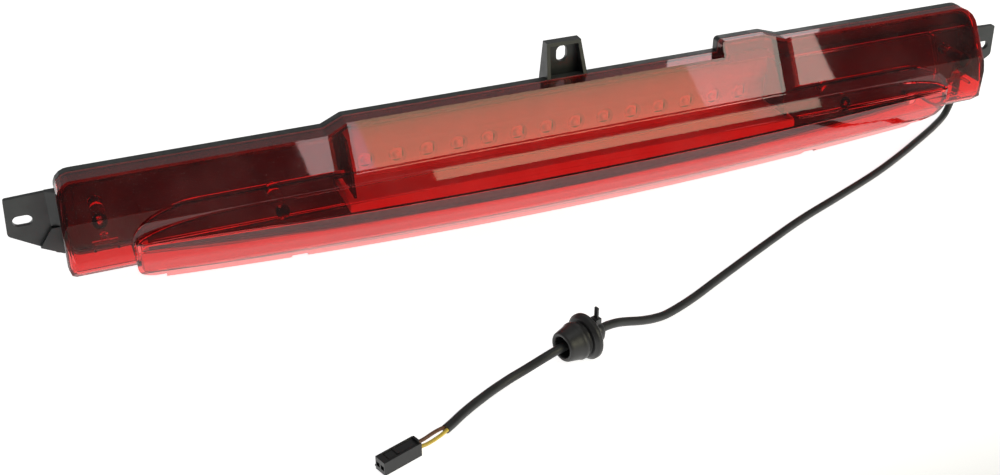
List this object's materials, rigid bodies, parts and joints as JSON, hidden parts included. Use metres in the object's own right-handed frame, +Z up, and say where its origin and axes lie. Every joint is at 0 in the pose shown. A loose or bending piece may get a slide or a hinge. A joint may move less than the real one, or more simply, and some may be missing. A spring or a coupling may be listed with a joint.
{
  "type": "third brake light",
  "caption": "Long high-mounted brake lamp: clear red lens with a raised lit centre and a bowed ridge, black backing with slotted end tabs, and a lead with grommet and small connector.",
  "frame": {"origin": "centre of the lamp's box at its base, measured without the lead", "axes": "+X along the lamp towards its taller wing (right, seen from behind the vehicle), -Y the way the lens faces, +Z up"},
  "size_m": [0.6686, 0.2306, 0.109],
  "materials": {
    "black_plastic": "moulded, slightly satin",
    "red_lens": "clear polished acrylic",
    "grey_bead": "welded seam",
    "silver_plastic": "metallised",
    "board": "solder mask",
    "led": "epoxy dome",
    "component": "moulded",
    "plated_steel": "zinc plated",
    "foam": "closed-cell foam",
    "membrane": "woven membrane",
    "black_rubber": "moulded rubber",
    "cord": "PVC jacket",
    "tie": "nylon",
    "yellow_wire": "PVC insulation",
    "brown_wire": "PVC insulation",
    "connector": "moulded nylon",
    "tin_plate": "tin plated"
  },
  "bodies": {
    "lamp": {"housing": "black_plastic", "lens": "red_lens", "weld_bead": "grey_bead", "reflector": "silver_plastic", "top_shroud": "black_plastic", "wing_panels": "black_plastic", "led_board": "board", "leds": "led", "resistors": "component", "diode": "component", "board_screws": "plated_steel", "lens_screws": "plated_steel", "foam_gasket": "foam", "vent_patch": "membrane", "inner_leads": "yellow_wire", "cord_gland": "black_rubber", "cord_jacket": "cord", "grommet": "black_rubber", "cable_tie": "tie", "wire_yellow": "yellow_wire", "wire_brown": "brown_wire", "plug_shell": "connector", "contacts": "tin_plate"},
    "latch": {"plug_latch": "connector"}
  },
  "joints": [
    {"name": "latch_press", "type": "hinge", "parent": "lamp", "child": "latch", "pos_m": [-0.18326, -0.1972, 0.0068], "axis": [0.3338, -0.9426, 0], "range_deg": [0, 2], "stiffness_Nm_per_rad": 0.05}
  ]
}
